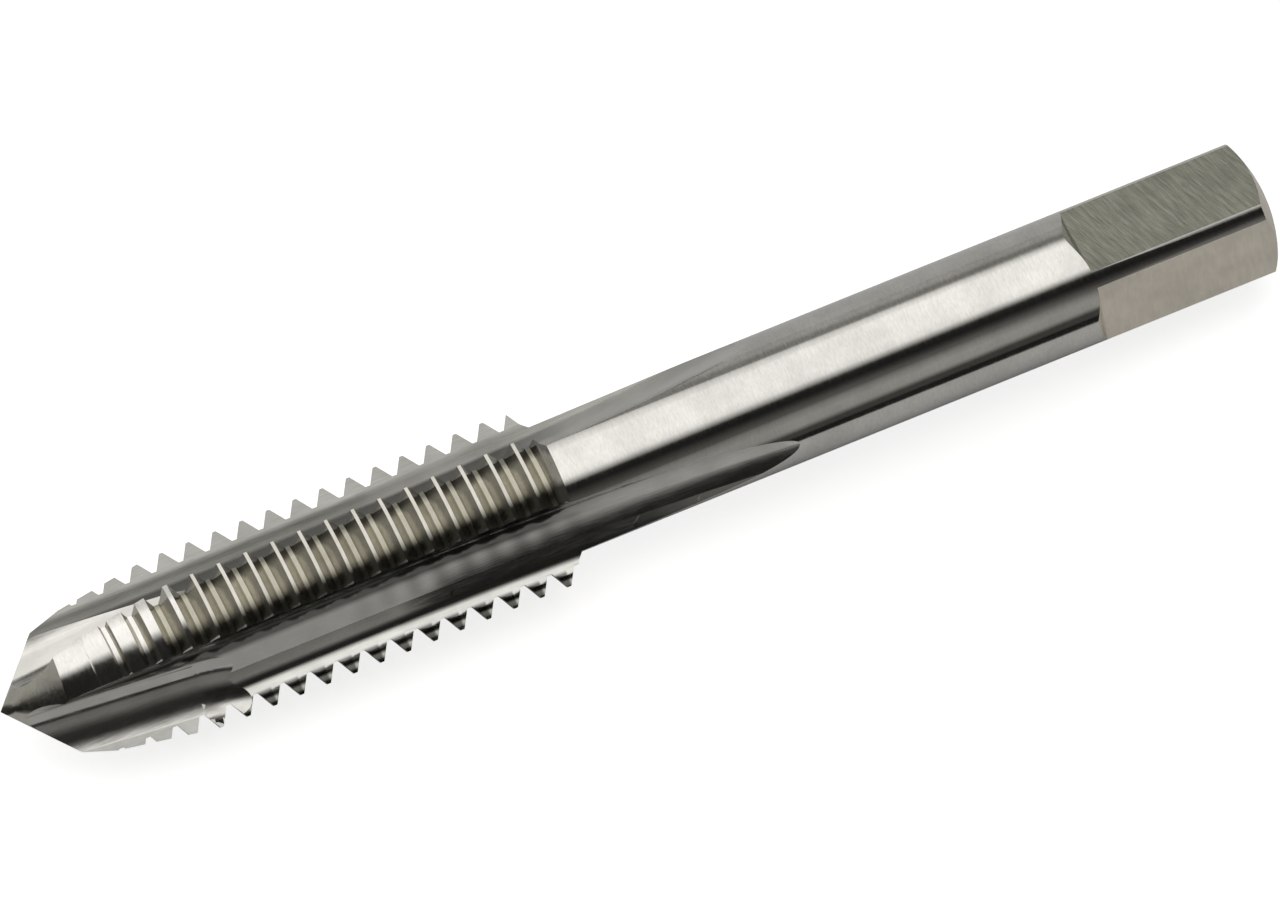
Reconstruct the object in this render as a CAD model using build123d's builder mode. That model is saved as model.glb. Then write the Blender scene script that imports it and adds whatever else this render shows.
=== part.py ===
import os
from math import cos, radians, sin, sqrt, tan

from build123d import *

# Spiral-point machine tap, M10 x 1.5, right-hand, three straight flutes, reduced shank and
# drive square. Sizes are in millimetres. The tap is drawn with its axis along Z and the
# tip of its point at Z = 0, one flute centred on +X, and is laid along +X at the end.

# thread
major_diameter = 10.0
pitch = 1.5
thread_depth = 0.6134 * pitch
crest_flat = pitch / 8
flank_angle = 30.0
thread_end = 30.3
thread_crest_station = 0.69

# point and chamfer lead, measured along the cutting edges
point_half_angle = 47.7
shoulder_angle = 18.8
shoulder_end = 4.9
lead_angle = 9.5
lead_end = 10.2

# lands: the crests, the lead and the thread roots stand off the axis by this much
# towards the cutting edge, so that all of them fall away behind it
land_relief = 0.15
land_angle = 59.25
land_half_angle = 21.6
land_sector = 100.0
groove_arc = 72.0
groove_overcut = 0.1

# shank and drive square
overall_length = 71.2
shank_diameter = 7.1
neck_length = 0.85
back_chamfer_length = 0.5
back_chamfer_foot = 0.4
square_across_flats = 5.6
square_length = 10.4
square_runout_radius = 0.8
square_corner_angle = 80.7
end_dome_radius = 7.7
centre_hole_diameter = 1.8
centre_pilot_diameter = 0.9
centre_pilot_depth = 2.4

# flutes
flute_count = 3
core_diameter = 4.58
flute_corner_radius = 0.9
cutting_edge_angle = 37.7
cutting_wall_angle = 39.0
heel_floor_radius = 3.5
heel_wall_angle = 50.0
flute_end = 43.5
flute_wheel_radius = 200.0
flute_wheel_arc = 8.0

# spiral-point grind
gun_radius = 2.3
gun_station = 6.0
gun_floor = 1.52
gun_offset = 0.62
gun_slope = 0.09
gun_shear = 0.025
gun_length = 9.8
gun_wheel_radius = 9.0
gun_wheel_arc = 35.0

major_radius = major_diameter / 2
root_radius = major_radius - thread_depth
shank_radius = shank_diameter / 2
core_radius = core_diameter / 2
root_flat = pitch - crest_flat - 2 * thread_depth * tan(radians(flank_angle))
point_end = major_radius / tan(radians(point_half_angle))
neck_end = thread_end + neck_length
dome_drop = end_dome_radius - sqrt(end_dome_radius**2 - shank_radius**2)
clear = 1.0

# Turned blank: point, thread body, back chamfer down to the shank, domed end.
with BuildPart() as blank:
    with BuildSketch(Plane.XZ):
        with BuildLine():
            Polyline(
                (0, 0),
                (major_radius, point_end),
                (major_radius, thread_end),
                (shank_radius + back_chamfer_foot, thread_end + back_chamfer_length),
                (shank_radius, neck_end),
                (shank_radius, overall_length - dome_drop),
            )
            RadiusArc(
                (shank_radius, overall_length - dome_drop),
                (0, overall_length),
                -end_dome_radius,
            )
            Line((0, overall_length), (0, 0))
        make_face()
    revolve(axis=Axis.Z)

# Angles about the axis are counted from the middle of the first flute. The relieved
# surfaces of a land turn about an axis shifted towards its cutting edge.
relief_shift = (
    land_relief * cos(radians(land_angle - 90)),
    land_relief * sin(radians(land_angle - 90)),
)
relief_drop = land_relief * sin(radians(land_half_angle))
relieved_radius = major_radius - relief_drop
relieved_root = root_radius - relief_drop

# Each land carries its own short lengths of the thread groove, and all of them lie on
# one helix.
groove_top = thread_depth + relief_drop + groove_overcut
groove_top_half = root_flat / 2 + groove_top * tan(radians(flank_angle))
first_groove = int(shoulder_end / pitch) - 1
last_groove = int(neck_end / pitch)

with BuildPart() as thread_groove:
    with BuildLine() as groove_path:
        Helix(pitch, pitch * groove_arc / 360, relieved_root)
    with BuildSketch(Plane.XZ):
        Polygon(
            (relieved_root, -root_flat / 2),
            (relieved_root, root_flat / 2),
            (relieved_root + groove_top, groove_top_half),
            (relieved_root + groove_top, -groove_top_half),
            align=None,
        )
    sweep(path=groove_path.line, is_frenet=True)

groove_places = []
for land in range(flute_count):
    land_turn = land * 360 / flute_count
    angle = land_angle - groove_arc / 2 + land_turn
    station = thread_crest_station + pitch / 2 + pitch * angle / 360
    shift_angle = radians(land_angle - 90 + land_turn)
    shift_x = land_relief * cos(shift_angle)
    shift_y = land_relief * sin(shift_angle)
    for turn in range(first_groove, last_groove):
        groove_places.append(
            Location((shift_x, shift_y, station + turn * pitch), (0, 0, angle))
        )

# Outside of one land: a steep shoulder behind the point, the chamfer lead, and the
# relieved crests as far as the neck.
shoulder_radius = relieved_radius - (lead_end - shoulder_end) * tan(radians(lead_angle))
shoulder_foot = shoulder_radius - shoulder_end * tan(radians(shoulder_angle))

with BuildPart() as land_relief_cut:
    with BuildSketch(Plane.XZ):
        Polygon(
            (shoulder_foot, 0),
            (shoulder_radius, shoulder_end),
            (relieved_radius, lead_end),
            (relieved_radius, neck_end),
            (major_radius + clear, neck_end),
            (major_radius + clear, 0),
            align=None,
        )
    revolve(axis=Axis.Z, revolution_arc=land_sector)

# Flute profile: a flat floor, a tight corner and a steep straight wall in front of the
# cutting edges, and a wide curve up to the open wall behind the heels. It is straight
# through the thread and lifts out on a wheel arc.
flute_depth = shank_radius - core_radius
wall_length = major_radius + clear
edge_x = major_radius * cos(radians(cutting_edge_angle))
edge_y = major_radius * sin(radians(cutting_edge_angle))
wall_cos = cos(radians(cutting_wall_angle))
wall_sin = sin(radians(cutting_wall_angle))
corner_x = core_radius + flute_corner_radius
corner_y = edge_y + ((corner_x - edge_x) * wall_sin - flute_corner_radius) / wall_cos
cut_tangent = (
    corner_x - flute_corner_radius * wall_sin,
    corner_y + flute_corner_radius * wall_cos,
)
cut_far = (
    cut_tangent[0] + wall_length * wall_cos,
    cut_tangent[1] + wall_length * wall_sin,
)
heel_centre = core_radius + heel_floor_radius
heel_tangent = (
    heel_centre - heel_floor_radius * sin(radians(heel_wall_angle)),
    -heel_floor_radius * cos(radians(heel_wall_angle)),
)
heel_far = (
    heel_tangent[0] + wall_length * cos(radians(heel_wall_angle)),
    heel_tangent[1] - wall_length * sin(radians(heel_wall_angle)),
)
flute_lift_start = flute_end - sqrt(2 * flute_wheel_radius * flute_depth - flute_depth**2)
wheel_axis_x = core_radius + flute_wheel_radius

with BuildSketch(Plane.XY) as flute_form:
    with BuildLine():
        Line(heel_far, heel_tangent)
        RadiusArc(heel_tangent, (core_radius, 0), heel_floor_radius)
        Line((core_radius, 0), (core_radius, corner_y))
        RadiusArc((core_radius, corner_y), cut_tangent, flute_corner_radius)
        Line(cut_tangent, cut_far)
        Line(cut_far, heel_far)
    make_face()

with BuildPart() as flute_cut:
    with Locations((0, 0, -clear)):
        add(flute_form.sketch)
    extrude(amount=flute_lift_start + clear)
    with Locations((0, 0, flute_lift_start)):
        add(flute_form.sketch)
    revolve(
        axis=Axis((wheel_axis_x, 0, flute_lift_start), (0, 1, 0)),
        revolution_arc=flute_wheel_arc,
    )

# Spiral-point grind: a round-bottomed trough, sunk towards the tip, which leaves the flute
# on a short wheel arc.
gun_direction = Vector(gun_slope, gun_shear, 1)
gun_foot = Vector(
    gun_floor + gun_radius - gun_slope * (gun_station + clear),
    gun_offset - gun_shear * (gun_station + clear),
    -clear,
)
gun_start = Plane(origin=gun_foot, x_dir=(1, 0, -gun_slope), z_dir=gun_direction)
gun_lift = gun_start.offset(gun_length + clear)
gun_wheel_centre = gun_lift.origin + gun_lift.x_dir * (gun_wheel_radius - gun_radius)

with BuildPart() as gun_cut:
    with BuildSketch(gun_start):
        Circle(gun_radius)
    extrude(amount=gun_length + clear)
    with BuildSketch(gun_lift):
        Circle(gun_radius)
    revolve(axis=Axis(gun_wheel_centre, gun_lift.y_dir), revolution_arc=gun_wheel_arc)

# Drive square: one flat with the round run-out that the grinding wheel leaves.
square_start = overall_length - square_length
flat_height = square_across_flats / 2

with BuildPart() as flat_cut:
    with BuildSketch(Plane.XZ):
        with BuildLine():
            RadiusArc(
                (flat_height + square_runout_radius, square_start - square_runout_radius),
                (flat_height, square_start),
                -square_runout_radius,
            )
            Polyline(
                (flat_height, square_start),
                (flat_height, overall_length + clear),
                (flat_height + square_runout_radius + clear, overall_length + clear),
                (
                    flat_height + square_runout_radius + clear,
                    square_start - square_runout_radius,
                ),
                (flat_height + square_runout_radius, square_start - square_runout_radius),
            )
        make_face()
    extrude(amount=major_radius, both=True)

# 60 degree centre hole in the drive end, with its pilot.
centre_cone_depth = (centre_hole_diameter - centre_pilot_diameter) / 2 / tan(radians(30))

with BuildPart() as centre_hole:
    with BuildSketch(Plane.XZ):
        Polygon(
            (0, overall_length + clear),
            (centre_hole_diameter / 2, overall_length + clear),
            (centre_hole_diameter / 2, overall_length),
            (centre_pilot_diameter / 2, overall_length - centre_cone_depth),
            (centre_pilot_diameter / 2, overall_length - centre_pilot_depth),
            (0, overall_length - centre_pilot_depth),
            align=None,
        )
    revolve(axis=Axis.Z)

with BuildPart() as tap:
    add(blank)
    with PolarLocations(0, flute_count):
        with Locations(Location((*relief_shift, 0), (0, 0, land_angle - land_sector / 2))):
            add(land_relief_cut, mode=Mode.SUBTRACT)
    with PolarLocations(0, flute_count):
        add(flute_cut, mode=Mode.SUBTRACT)
    with PolarLocations(0, flute_count):
        add(gun_cut, mode=Mode.SUBTRACT)
    with Locations(*groove_places):
        add(thread_groove, mode=Mode.SUBTRACT)
    with PolarLocations(0, 4, start_angle=square_corner_angle - 45):
        add(flat_cut, mode=Mode.SUBTRACT)
    add(centre_hole, mode=Mode.SUBTRACT)

# Laid along +X with the drive end at the origin and the middle of one land up.
with BuildPart() as spiral_point_tap:
    with Locations(Location((-overall_length, 0, 0), (0, 90, 180 - land_angle))):
        add(tap)

spiral_point_tap.part.label = "spiral_point_tap"
os.makedirs("parts", exist_ok=True)
export_step(spiral_point_tap.part, "parts/spiral_point_tap.step")
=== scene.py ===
import math

import bpy
from mathutils import Matrix, Vector


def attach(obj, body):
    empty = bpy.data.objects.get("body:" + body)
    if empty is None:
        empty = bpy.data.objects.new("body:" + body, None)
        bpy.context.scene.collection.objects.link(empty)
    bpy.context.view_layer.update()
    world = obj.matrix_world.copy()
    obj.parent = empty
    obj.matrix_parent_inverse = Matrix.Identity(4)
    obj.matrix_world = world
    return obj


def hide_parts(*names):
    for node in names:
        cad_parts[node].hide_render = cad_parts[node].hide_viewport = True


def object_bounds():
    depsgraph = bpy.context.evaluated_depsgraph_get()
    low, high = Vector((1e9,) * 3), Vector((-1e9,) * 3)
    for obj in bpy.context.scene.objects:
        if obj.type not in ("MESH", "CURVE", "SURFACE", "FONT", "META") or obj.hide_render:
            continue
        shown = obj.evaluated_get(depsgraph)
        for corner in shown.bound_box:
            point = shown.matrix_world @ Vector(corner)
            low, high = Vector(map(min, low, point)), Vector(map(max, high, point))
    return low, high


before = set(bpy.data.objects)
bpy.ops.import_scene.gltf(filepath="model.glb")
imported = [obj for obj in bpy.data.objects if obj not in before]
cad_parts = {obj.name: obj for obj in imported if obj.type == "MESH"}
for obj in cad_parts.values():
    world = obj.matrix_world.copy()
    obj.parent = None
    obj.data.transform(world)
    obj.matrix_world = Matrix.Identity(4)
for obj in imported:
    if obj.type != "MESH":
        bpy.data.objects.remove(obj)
cad_low, cad_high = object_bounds()

MM = 0.001
LENGTH = -cad_low.x
SHANK_RADIUS = 3.55 * MM
PITCH = 1.5 * MM

# Faces are sorted by radius: the thread's roots lie within ROOT_LIMIT, and what lies within
# FLUTE_LIMIT is flute.
ROOT_LIMIT = 4.15 * MM
FLUTE_LIMIT = 3.9 * MM

# They are also sorted by place along the axis, which runs from the tip at -LENGTH to the
# drive end at 0, so these places have small margins. The drive square with the run-outs of
# its flats lies behind SQUARE_START, and a face whose middle is up to SQUARE_MARGIN before
# it is sorted with the square.
FIRST_CREST = -LENGTH + 0.69 * MM
POINT_END = -LENGTH + 3.4 * MM
LEAD_ROOTS = -LENGTH + 9.0 * MM
LEAD_END = -LENGTH + 10.6 * MM
TROUGH_END = -LENGTH + 13.2 * MM
NECK_END = -LENGTH + 31.2 * MM
SQUARE_START = -11.3 * MM
SQUARE_MARGIN = 0.8 * MM

# Turn of one corner of the drive square from y towards z. The shading turns the edges of a
# corner further from its middle, by this share of their turn, as if they were broken.
CORNER = math.radians(21.45)
BROKEN_EDGE = 0.3

# Directions out of the two coarsely ground flats, and across them.
COARSE_FLAT = Vector((0, 0.4, 0.92))
ACROSS_FLAT = Vector((0, 0.92, -0.4))

# Angle from the top land to the next flute, and from one flute to another.
FLUTE_TURN = math.radians(59.25)
THIRD = 2 * math.pi / 3

# Viewing direction: the tap's tip leans towards the camera, and one land faces it.
TILT = math.radians(8.0)
ROLL = math.radians(14.15)
LEAN = math.radians(21.968)
FRAME_WIDTH = 65.98 * MM
AIM_ALONG, AIM_SIDE = 35.63 * MM, 0.20 * MM
LENS = 1000.0
SENSOR = 36.0

AXIS = Vector((1, 0, 0))
FRONT = Vector((0, -math.sin(ROLL), math.cos(ROLL)))
SIDE = Vector((0, math.cos(ROLL), math.sin(ROLL)))
ALONG = math.cos(TILT) * AXIS + math.sin(TILT) * FRONT
TO_CAMERA = math.cos(TILT) * FRONT - math.sin(TILT) * AXIS


def make_camera():
    target = Vector((-LENGTH, 0, 0)) + AIM_ALONG * ALONG + AIM_SIDE * SIDE
    right = math.cos(LEAN) * ALONG - math.sin(LEAN) * SIDE
    up = math.sin(LEAN) * ALONG + math.cos(LEAN) * SIDE
    data = bpy.data.cameras.new("camera")
    data.lens = LENS
    data.sensor_width = SENSOR
    distance = FRAME_WIDTH * LENS / SENSOR
    data.clip_start = 0.05
    data.clip_end = 20.0
    camera = bpy.data.objects.new("camera", data)
    place = Matrix((right, up, TO_CAMERA)).transposed().to_4x4()
    place.translation = target + distance * TO_CAMERA
    camera.matrix_world = place
    bpy.context.scene.collection.objects.link(camera)
    bpy.context.scene.camera = camera


class Nodes:
    """A short way to write node trees."""

    def __init__(self, tree):
        self.tree = tree
        tree.nodes.clear()

    def add(self, kind, inputs=None, **settings):
        node = self.tree.nodes.new(kind)
        for name, value in settings.items():
            setattr(node, name, value)
        for name, value in (inputs or {}).items():
            self.set(node.inputs[name], value)
        return node

    def set(self, socket, value):
        if isinstance(value, bpy.types.NodeSocket):
            self.tree.links.new(value, socket)
        else:
            socket.default_value = value

    def math(self, operation, a, b=0.0, clamp=False):
        node = self.add("ShaderNodeMath", operation=operation, use_clamp=clamp)
        self.set(node.inputs[0], a)
        self.set(node.inputs[1], b)
        return node.outputs[0]

    def dot(self, vector, direction):
        node = self.add("ShaderNodeVectorMath", operation="DOT_PRODUCT")
        self.set(node.inputs[0], vector)
        self.set(node.inputs[1], tuple(direction))
        return node.outputs["Value"]

    def scaled(self, vector, scale):
        node = self.add("ShaderNodeVectorMath", operation="MULTIPLY")
        self.set(node.inputs[0], vector)
        self.set(node.inputs[1], scale)
        return node.outputs["Vector"]

    def grey(self, level):
        levels = {"Red": level, "Green": level, "Blue": level}
        return self.add("ShaderNodeCombineColor", levels).outputs[0]

    def fade(self, value, start, end, low=0.0, high=1.0):
        """low before start, high after end and a straight line between; start may be larger."""
        inputs = {"Value": value, "From Min": start, "From Max": end}
        inputs.update({"To Min": low, "To Max": high})
        return self.add("ShaderNodeMapRange", inputs).outputs[0]

    def masked(self, mask, level):
        """A level that counts only where the mask does, and is 1 elsewhere."""
        gap = self.math("MULTIPLY", mask, self.math("SUBTRACT", 1.0, level))
        return self.math("SUBTRACT", 1.0, gap)

    def ramp(self, factor, stops):
        node = self.add("ShaderNodeValToRGB", {"Fac": factor})
        elements = node.color_ramp.elements
        elements.remove(elements[1])
        elements[0].position, elements[0].color = stops[0][0], (*stops[0][1], 1)
        for position, colour in stops[1:]:
            element = elements.new(position)
            element.color = (*colour, 1)
        return node.outputs["Color"]


# Light of the studio by its angle about the tap's axis in degrees, for six directions along
# the axis. 0 is where the camera stands, and positive is towards the upper side of the
# picture: a large softbox above, a black card in front and dimmer walls. A band is named
# after the surface that mirrors it, and STUDIO_STEPS says over which directions along the
# axis one band passes into the next. Angles and levels were chosen to give the light and
# dark bands that the photo shows on the steel.
GREY_TINT = (1.0, 0.985, 0.93)
WHITE_TINT = (1.0, 0.985, 0.96)
STUDIO = {
    "point_end": [
        (-180, 0.08), (-100, 0.02), (30, 0.03), (66, 0.07), (82, 0.18), (97, 0.42), (130, 0.55),
    ],
    "lead": [
        (-180, 0.25), (-90, 0.15), (-50, 0.16), (-36, 0.06), (-28, 0.012), (7, 0.012),
        (13, 0.45), (19, 1.0), (46, 1.0), (55, 0.45), (66, 0.30), (180, 0.34),
    ],
    "trough": [
        (-180, 0.30), (-90, 0.13), (-55, 0.16), (-42, 0.08), (-30, 0.03), (-5, 0.02), (7, 0.08),
        (16, 0.22), (26, 0.45), (34, 0.92), (40, 1.0), (108, 1.0), (118, 0.70), (150, 0.36),
    ],
    "run_out": [
        (-180, 0.30), (-100, 0.16), (-92, 0.14), (-87, 0.012), (-4, 0.012), (2, 0.20),
        (10, 0.80), (14, 1.0), (60, 0.98), (70, 0.60), (80, 0.46), (97, 0.52), (180, 0.40),
    ],
    "shank": [
        (-180, 0.36), (-90, 0.12), (-84, 0.05), (-66, 0.05), (-57, 0.30), (-44, 0.32),
        (-36, 0.24), (-28, 0.13), (-20, 0.04), (-14, 0.012), (-4, 0.012), (1, 0.42), (8, 0.90),
        (20, 1.0), (60, 0.98), (68, 0.78), (73, 0.40), (78, 0.15), (84, 0.16), (92, 0.30),
        (180, 0.40),
    ],
    "drive_end": [(-180, 0.38), (-90, 0.04), (0, 0.05), (24, 0.36), (70, 0.34), (180, 0.38)],
}
STUDIO_STEPS = (
    ("lead", -0.80, -0.60),
    ("trough", -0.155, -0.135),
    ("run_out", -0.035, -0.02),
    ("shank", 0.115, 0.130),
    ("drive_end", 0.35, 0.60),
)
STUDIO_STRENGTH = 1.18
BRIGHT = 0.6


def make_world():
    world = bpy.data.worlds.new("studio")
    bpy.context.scene.world = world
    world.use_nodes = True
    n = Nodes(world.node_tree)
    direction = n.add("ShaderNodeTexCoord").outputs["Generated"]
    front = n.dot(direction, FRONT)
    side = n.dot(direction, SIDE)
    along = n.dot(direction, AXIS)
    turn = n.math("DIVIDE", n.math("ARCTAN2", side, front), 2 * math.pi)
    turn = n.math("ADD", turn, 0.5)
    bands = {}
    for name, levels in STUDIO.items():
        stops = []
        for angle, level in levels:
            tint = WHITE_TINT if level > BRIGHT else GREY_TINT
            stops.append(((angle + 180) / 360, tuple(level * c for c in tint)))
        bands[name] = n.ramp(turn, stops)
    light = bands["point_end"]
    for name, start, end in STUDIO_STEPS:
        mix = n.add("ShaderNodeMix", data_type="RGBA")
        n.set(mix.inputs[0], n.fade(along, start, end))
        n.set(mix.inputs[6], light)
        n.set(mix.inputs[7], bands[name])
        light = mix.outputs[2]
    room = n.add("ShaderNodeBackground", {"Color": light, "Strength": STUDIO_STRENGTH})
    white = n.add("ShaderNodeBackground", {"Color": (1, 1, 1, 1), "Strength": 1.0})
    path = n.add("ShaderNodeLightPath")
    shown = n.add("ShaderNodeMixShader")
    n.set(shown.inputs[0], path.outputs["Is Camera Ray"])
    n.set(shown.inputs[1], room.outputs[0])
    n.set(shown.inputs[2], white.outputs[0])
    out = n.add("ShaderNodeOutputWorld")
    n.set(out.inputs["Surface"], shown.outputs[0])


# The paper floor: how bright it is to the camera and in the steel, and where its reflection
# goes dark. That is in front of the tap, further out by up to FRONT_SHIFT towards the drive
# end, and beyond the tip. Plain paper wouldn't go dark: it stands for a dark studio there.
PAPER = 0.82
PAPER_SEEN = 0.80
PAPER_MIRRORED = 0.06
PAPER_DARK = 0.97
FRONT_START, FRONT_END = 19.5 * MM, 23.5 * MM
FRONT_SHIFT = 9.0 * MM
SHIFT_SLOPE = 0.8
SHIFT_START = -40.0 * MM
BEYOND_START, BEYOND_END = 85.0 * MM, 95.0 * MM


def mirrored_dark(n, place):
    """How far the paper has gone dark at a place, for the rays that steel mirrors."""
    along = n.dot(place, AXIS)
    shift = n.math("MULTIPLY", n.math("SUBTRACT", along, SHIFT_START), SHIFT_SLOPE)
    shift = n.math("MINIMUM", n.math("MAXIMUM", shift, 0.0), FRONT_SHIFT)
    front = n.math("SUBTRACT", n.dot(place, (0, -1, 0)), shift)
    beyond = n.fade(n.dot(place, (-1, 0, 0)), BEYOND_START, BEYOND_END)
    beyond = n.math("MULTIPLY", beyond, n.math("GREATER_THAN", front, 0.0))
    far = n.math("MAXIMUM", n.fade(front, FRONT_START, FRONT_END), beyond)
    return n.math("MULTIPLY", far, PAPER_DARK)


def make_floor():
    mesh = bpy.data.meshes.new("floor")
    half = 3.0
    corners = [(-half, -half, 0), (half, -half, 0), (half, half, 0), (-half, half, 0)]
    mesh.from_pydata(corners, [], [(0, 1, 2, 3)])
    floor = bpy.data.objects.new("floor", mesh)
    floor.location = (0, 0, cad_low.z)
    bpy.context.scene.collection.objects.link(floor)
    material = bpy.data.materials.new("pale_floor")
    material.use_nodes = True
    n = Nodes(material.node_tree)
    path = n.add("ShaderNodeLightPath")
    place = n.add("ShaderNodeTexCoord").outputs["Object"]
    dark = n.math("MULTIPLY", mirrored_dark(n, place), path.outputs["Is Glossy Ray"])
    near = n.math("SUBTRACT", 1.0, dark)
    paper = n.add("ShaderNodeBsdfDiffuse")
    n.set(paper.inputs["Color"], n.grey(n.math("MULTIPLY", near, PAPER)))
    glow = n.add("ShaderNodeEmission", {"Color": (1, 1, 1, 1)})
    mirrored = n.math(
        "ADD", path.outputs["Is Glossy Ray"], path.outputs["Is Transmission Ray"], True
    )
    seen = n.math("MULTIPLY", path.outputs["Is Camera Ray"], PAPER_SEEN)
    mirrored = n.math("MULTIPLY", n.math("MULTIPLY", mirrored, near), PAPER_MIRRORED)
    n.set(glow.inputs["Strength"], n.math("ADD", seen, mirrored))
    both = n.add("ShaderNodeAddShader")
    n.set(both.inputs[0], paper.outputs[0])
    n.set(both.inputs[1], glow.outputs[0])
    out = n.add("ShaderNodeOutputMaterial")
    n.set(out.inputs["Surface"], both.outputs[0])
    mesh.materials.append(material)


def steel(name, colour, roughness, grain, grain_depth, slant=0.0, painted_shade=None):
    """Ground steel. grain is the scale of the grinding lines along x, y and z, per metre.

    slant leans the lines, and the last argument gives painted shade that darkens the steel by
    place.
    """
    material = bpy.data.materials.new(name)
    material.use_nodes = True
    n = Nodes(material.node_tree)
    place = n.add("ShaderNodeTexCoord").outputs["Object"]
    lean = n.add("ShaderNodeCombineXYZ", {"X": n.dot(place, slant * ACROSS_FLAT)}).outputs[0]
    slanted = n.add("ShaderNodeVectorMath", {0: place, 1: lean}).outputs["Vector"]
    lines = n.add(
        "ShaderNodeTexNoise",
        {"Vector": n.scaled(slanted, grain), "Scale": 1.0, "Detail": 6.0, "Roughness": 0.6},
    ).outputs["Fac"]
    stain = n.add(
        "ShaderNodeTexNoise",
        {"Vector": place, "Scale": 420.0, "Detail": 4.0, "Roughness": 0.6},
    ).outputs["Fac"]
    dark = tuple(0.86 * c for c in colour)
    tone = n.ramp(stain, [(0.35, dark), (0.65, colour)])
    shade = n.ramp(lines, [(0.3, (0.86, 0.86, 0.86)), (0.7, (1, 1, 1))])
    base = n.add("ShaderNodeMix", data_type="RGBA", blend_type="MULTIPLY")
    n.set(base.inputs[0], 1.0)
    n.set(base.inputs[6], tone)
    n.set(base.inputs[7], shade)
    coloured = base.outputs[2]
    # Painted shade: the level from the last argument darkens the colour by place.
    if painted_shade:
        shade_mix = n.add("ShaderNodeMix", data_type="RGBA", blend_type="MULTIPLY")
        n.set(shade_mix.inputs[0], 1.0)
        n.set(shade_mix.inputs[6], coloured)
        n.set(shade_mix.inputs[7], n.grey(painted_shade(n, place)))
        coloured = shade_mix.outputs[2]
    rough = n.fade(lines, 0.3, 0.7, 0.75 * roughness, 1.25 * roughness)
    bump = n.add("ShaderNodeBump", {"Height": lines, "Strength": 1.0, "Distance": grain_depth})
    surface = n.add(
        "ShaderNodeBsdfPrincipled",
        {"Base Color": coloured, "Metallic": 1.0, "Roughness": rough,
         "Normal": bump.outputs[0]},
    )
    out = n.add("ShaderNodeOutputMaterial")
    n.set(out.inputs["Surface"], surface.outputs[0])
    return material


def thread_place(n, place):
    """Turn from the middle of the nearest flute, side from it, and share of a thread turn."""
    y, z = n.dot(place, (0, 1, 0)), n.dot(place, (0, 0, 1))
    turn = n.math("SUBTRACT", FLUTE_TURN, n.math("ARCTAN2", y, z))
    thirds = n.math("DIVIDE", turn, THIRD)
    thirds = n.math("SUBTRACT", thirds, n.math("ROUND", thirds))
    from_flute = n.math("MULTIPLY", thirds, THIRD)
    radius = n.math("SQRT", n.math("ADD", n.math("MULTIPLY", y, y), n.math("MULTIPLY", z, z)))
    side = n.math("MULTIPLY", radius, n.math("SINE", from_flute))
    pitches = n.math("DIVIDE", n.math("SUBTRACT", n.dot(place, AXIS), FIRST_CREST), PITCH)
    pitches = n.math("SUBTRACT", pitches, n.math("DIVIDE", turn, 2 * math.pi))
    return from_flute, side, n.math("FRACT", pitches)


# Painted shade on the steel, fitted to the photo. Beside the heels it goes by side from the
# flute's middle, in millimetres, within HEEL_SPAN, as far as the end of the shaded stretch
# past the neck. On the teeth it goes by turn of the thread from crest to crest, and the top
# land's teeth are darker still. The flutes' floors have a painted reflection of the teeth's
# shadow, one a pitch, over a stretch along the axis and across it. The thread's flanks and
# roots have painted shade near the cutting edges.
HEEL_LEVELS = [(-2.0, 0.72), (-1.45, 0.72), (-1.2, 0.30), (-0.35, 0.30), (0.05, 1.0)]
TOOTH_LEVELS = [(0.0, 0.30), (0.05, 0.35), (0.12, 1.0), (0.45, 1.0), (0.6, 0.35), (1.0, 0.30)]
HEEL_SPAN = 5.0
TOOTH_FOOT, TOOTH_FULL = 2.42 * MM, 2.52 * MM
TOP_TOOTH_LEVEL = 0.4
SHADED_START, SHADED_END = NECK_END - 2.2 * MM, NECK_END + 1.8 * MM
REFLECTED_SHADOW_LEVEL, REFLECTED_SHADOW_DEPTH = 0.82, 0.18
REFLECTED_SHADOW_NONE, REFLECTED_SHADOW_FULL = NECK_END - 13.2 * MM, NECK_END - 8.2 * MM
REFLECTED_SHADOW_LOW, REFLECTED_SHADOW_FADE, REFLECTED_SHADOW_HIGH = -0.5 * MM, 0.9 * MM, 1.4 * MM
EDGE_START, EDGE_END, EDGE_LEVEL = math.radians(41), math.radians(47), 0.35


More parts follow.
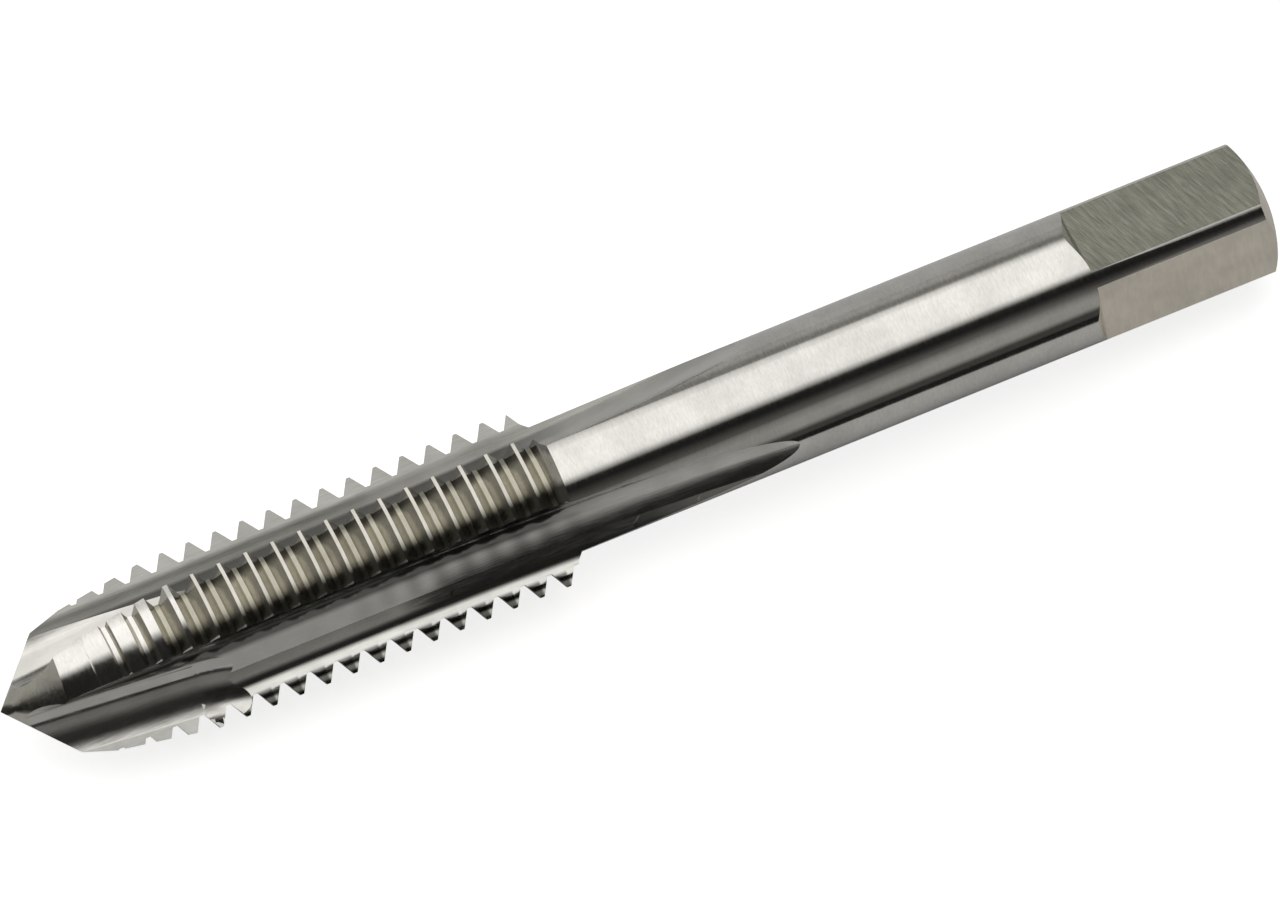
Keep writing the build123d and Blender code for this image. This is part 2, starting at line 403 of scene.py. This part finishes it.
def flute_painted_shade(n, place):
    """Flute steel: painted shade beside the heels and on the teeth, and a painted reflection of
    the teeth's shadow once a pitch between.
    """
    side, phase = thread_place(n, place)[1:]
    along = n.dot(place, AXIS)
    thread = n.fade(along, SHADED_END, SHADED_START)
    # Painted shade beside the heels.
    heel = n.ramp(
        n.math("ADD", n.math("DIVIDE", side, HEEL_SPAN * MM), 0.5),
        [(position / HEEL_SPAN + 0.5, (level,) * 3) for position, level in HEEL_LEVELS],
    )
    # Painted shade on the teeth, darker still on the top land's teeth.
    tooth = n.math("GREATER_THAN", along, LEAD_END)
    tooth = n.math("MULTIPLY", n.fade(side, TOOTH_FOOT, TOOTH_FULL), tooth)
    stroke = n.ramp(phase, [(position, (level,) * 3) for position, level in TOOTH_LEVELS])
    top = n.math("MULTIPLY", tooth, n.math("GREATER_THAN", n.dot(place, (0, 0, 1)), 0.0))
    # Painted reflection of the teeth's shadow on the flutes' floors, once a pitch.
    wave = n.math("COSINE", n.math("MULTIPLY", phase, 2 * math.pi))
    reflected_shadow = n.math("SUBTRACT", REFLECTED_SHADOW_LEVEL, n.math("MULTIPLY", wave, REFLECTED_SHADOW_DEPTH))
    floor = n.math("MULTIPLY", n.fade(along, REFLECTED_SHADOW_NONE, REFLECTED_SHADOW_FULL), thread)
    floor = n.math("MULTIPLY", floor, n.fade(side, REFLECTED_SHADOW_HIGH, REFLECTED_SHADOW_FADE))
    floor = n.math("MULTIPLY", floor, n.math("GREATER_THAN", side, REFLECTED_SHADOW_LOW))
    level = n.masked(thread, heel)
    for mask, shade in ((tooth, stroke), (top, TOP_TOOTH_LEVEL), (floor, reflected_shadow)):
        level = n.math("MULTIPLY", level, n.masked(mask, shade))
    return level


def edge_painted_shade(n, place):
    """Thread steel, with painted shade darker towards the cutting edges."""
    turn = thread_place(n, place)[0]
    level = n.fade(turn, EDGE_START, EDGE_END, EDGE_LEVEL)
    return n.math("MAXIMUM", level, n.math("LESS_THAN", turn, 0.0))


def region(centre, normal):
    """The ground surface of the tap that a face belongs to, by its place and direction."""
    radius = math.hypot(centre.y, centre.z)
    facing = centre.y * normal.y + centre.z * normal.z
    outward = facing / max(radius, 1e-9)
    level = abs(normal.x) < 0.3
    if centre.x > SQUARE_START - SQUARE_MARGIN:
        if facing > 0.97 * SHANK_RADIUS and abs(normal.x) < 0.05:
            return "shank"
        coarse = abs(normal.dot(COARSE_FLAT)) > 0.5
        return "square_coarse" if coarse else "square_fine"
    if centre.x < POINT_END and normal.x < -0.5:
        return "point"
    if centre.x < TROUGH_END and -0.6 < normal.x < -0.02 and outward < 0.9:
        return "trough"
    within = 0.985 * SHANK_RADIUS if centre.x > NECK_END else FLUTE_LIMIT
    if level and (outward < 0.95 or radius < within):
        return "flute"
    if centre.x > NECK_END:
        return "shank"
    if level and radius < ROOT_LIMIT and centre.x > LEAD_ROOTS:
        return "root"
    if centre.x > LEAD_END:
        return "flank" if abs(normal.x) > 0.5 else "thread"
    return "lead" if outward > 0.93 else "thread"


def flute_side(y, z):
    """A point's side from the middle of its nearest flute, and that flute's turn."""
    turn = FLUTE_TURN - math.atan2(y, z)
    nearest = THIRD * round(turn / THIRD)
    return math.hypot(y, z) * math.sin(turn - nearest), nearest


def between(value, points):
    """A value read off a line through (position, value) points."""
    if value <= points[0][0]:
        return points[0][1]
    for (start, low), (end, high) in zip(points, points[1:]):
        if value <= end:
            return low + (high - low) * (value - start) / (end - start)
    return points[-1][1]


# The flute's profile in millimetres: a wide heel curve, a flat floor, a tight corner and a
# cutting wall. From LIFT_START the floor lifts out on a wheel arc.
HEEL_RADIUS = 3.5
HEEL_EDGE = -2.25
FLOOR_EDGE = 1.279
WALL_FOOT = 1.979
LIFT_START = 21.1
LIFT_WHEEL = 200.0

# Turn of the surface away from the flute's floor in degrees, fitted to the bands that it
# mirrors. CORNER_TURN goes by side from the middle: the corner looks rounder than the
# solid's. WALL_TURN is per millimetre, for a wall a little hollow, and has its limit by
# station from the tip. The floor turns by FLOOR_TURN at its edge, and where it lifts by
# station, at its middle and at its edge, and leans towards the tip by LIFT_LEAN.
CORNER_TURN = [(FLOOR_EDGE, 18.0), (1.542, 18.6), (1.782, 22.0), (WALL_FOOT, 37.0)]
WALL_TURN = 55.0
WALL_LIMIT = [(8.5, 49.6), (10.5, 51.0), (12.0, 110.0)]
FLOOR_TURN = 1.5
LIFT_MIDDLE = [(30.0, 0.0), (42.0, 2.4)]
LIFT_EDGE = [(21.2, 3.3), (27.0, 3.5), (31.0, 4.6), (36.0, 6.0), (42.0, 8.0)]
LIFT_LEAN = 0.02


def flute_normal(side, place, station):
    """Direction of a flute's surface in its own frame, at one corner of a face.

    side says which part of the profile the face is on, and place is the corner's own side.
    """
    lifts = station > LIFT_START + 0.05
    lift = (station - LIFT_START) / LIFT_WHEEL if lifts else 0.0
    low = between(station, LIFT_MIDDLE)
    if side < 0:
        turn = math.degrees(math.asin(max(place, HEEL_EDGE) / HEEL_RADIUS))
        turn += low * max(0.0, 1 + place)
    elif side < FLOOR_EDGE:
        high = between(station, LIFT_EDGE) if lifts else FLOOR_TURN
        turn = low + (high - low) * place / FLOOR_EDGE
    elif side < WALL_FOOT:
        turn = between(place, CORNER_TURN)
    else:
        turn = CORNER_TURN[-1][1] + WALL_TURN * (place - WALL_FOOT)
        turn = min(turn, between(station, WALL_LIMIT))
    turn = math.radians(turn)
    along = -math.cos(turn) * math.sin(lift) - (LIFT_LEAN if lifts else 0.0)
    return Vector((math.cos(turn), -math.sin(turn), along))


# The trough of the spiral point is a round bar's shape that leaves on a wheel arc, in
# millimetres. TROUGH_LIFT is where the arc begins, on the bar's middle line. The shading
# leans towards the tip by TROUGH_LEAN.
TROUGH_RADIUS = 2.3
TROUGH_LEAN = 0.055
TROUGH_WHEEL = 9.0
TROUGH_LINE = Vector((0.09, 0.025, 1.0)).normalized()
TROUGH_OUT = Vector((1.0, 0.0, -0.09)).normalized()
TROUGH_LIFT = Vector((3.19, 0.445, -1.0)) + 10.8 * TROUGH_LINE


def trough_normal(depth, place, station):
    """Direction of a trough's surface in the flute's frame."""
    offset = Vector((depth, place, station)) - TROUGH_LIFT
    across = TROUGH_LINE.cross(TROUGH_OUT)
    out, side, along = offset.dot(TROUGH_OUT), offset.dot(across), offset.dot(TROUGH_LINE)
    centre_out, centre_along = 0.0, along
    if along > 0:
        arm = TROUGH_WHEEL - TROUGH_RADIUS
        reach = math.hypot(out - arm, along)
        centre_out = arm + arm * (out - arm) / reach
        centre_along = arm * along / reach
    normal = (centre_out - out) * TROUGH_OUT - side * across
    normal += (centre_along - along) * TROUGH_LINE
    return normal.normalized() - Vector((0, 0, TROUGH_LEAN))


def corner_normal(y, z):
    """Direction of a round corner between two flats, a little broken at its edges."""
    turn = math.atan2(z, y)
    corner = CORNER + math.pi / 2 * round((turn - CORNER) / (math.pi / 2))
    turn += BROKEN_EDGE * (turn - corner)
    return Vector((0, math.cos(turn), math.sin(turn)))


def shade_surfaces(mesh):
    """Shading directions of flutes, troughs and square corners. No point is moved."""
    normals = [corner.vector.copy() for corner in mesh.corner_normals]
    for face in mesh.polygons:
        kind = region(face.center, face.normal)
        square_corner = kind == "shank" and face.center.x > SQUARE_START
        side, turn = flute_side(face.center.y, face.center.z)
        angle = FLUTE_TURN - turn
        out = Vector((0, math.sin(angle), math.cos(angle)))
        cut = Vector((0, -math.cos(angle), math.sin(angle)))
        for loop in face.loop_indices:
            point = mesh.vertices[mesh.loops[loop].vertex_index].co / MM
            depth, place, station = point.dot(out), point.dot(cut), point.x + LENGTH / MM
            if square_corner:
                normals[loop] = corner_normal(point.y, point.z)
                continue
            if kind == "trough":
                normal = trough_normal(depth, place, station)
            elif kind == "flute":
                normal = flute_normal(side / MM, place, station)
            else:
                continue
            normals[loop] = (normal.x * out + normal.y * cut + normal.z * AXIS).normalized()
    mesh.polygons.foreach_set("use_smooth", [True] * len(mesh.polygons))
    mesh.normals_split_custom_set(normals)


# Colour, roughness, scale and depth of the grinding lines, then their slant and the painted
# shade.
ROUND_GRAIN = (9000, 2500, 2500)
FLUTE_GRAIN = (700, 9000, 9000)
THREAD_COLOUR = (0.70, 0.68, 0.62)
FINISHES = {
    "shank": ((0.80, 0.79, 0.76), 0.10, ROUND_GRAIN, 0.6e-6),
    "square_coarse": ((0.49, 0.50, 0.43), 0.20, (4500, 700, 700), 10e-6, 0.3),
    "square_fine": ((0.92, 0.86, 0.75), 0.20, (4500, 900, 900), 6e-6),
    "flute": ((0.72, 0.72, 0.69), 0.12, FLUTE_GRAIN, 1.0e-6, 0.0, flute_painted_shade),
    "trough": ((0.82, 0.81, 0.78), 0.16, FLUTE_GRAIN, 1.5e-6),
    "point": ((0.70, 0.69, 0.62), 0.18, (3000, 3000, 3000), 3e-6),
    "thread": (THREAD_COLOUR, 0.12, ROUND_GRAIN, 0.6e-6),
    "flank": (THREAD_COLOUR, 0.12, ROUND_GRAIN, 0.6e-6, 0.0, edge_painted_shade),
    # The roots' darker colour is painted shade in the thread's recesses.
    "root": ((0.52, 0.50, 0.42), 0.16, ROUND_GRAIN, 0.6e-6, 0.0, edge_painted_shade),
    "lead": ((0.93, 0.92, 0.89), 0.14, ROUND_GRAIN, 0.6e-6),
}


def make_tap():
    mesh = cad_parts["spiral_point_tap"].data.copy()
    tap = bpy.data.objects.new("tap_body", mesh)
    bpy.context.scene.collection.objects.link(tap)
    mesh.materials.clear()
    finishes = {name: steel(f"{name}_ground", *finish) for name, finish in FINISHES.items()}
    for material in finishes.values():
        mesh.materials.append(material)
    places = {name: place for place, name in enumerate(finishes)}
    for face in mesh.polygons:
        face.material_index = places[region(face.center, face.normal)]
    shade_surfaces(mesh)
    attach(tap, "root")
    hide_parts("spiral_point_tap")


make_camera()
make_world()
make_floor()
make_tap()

bpy.context.scene.view_settings.view_transform = "Standard"
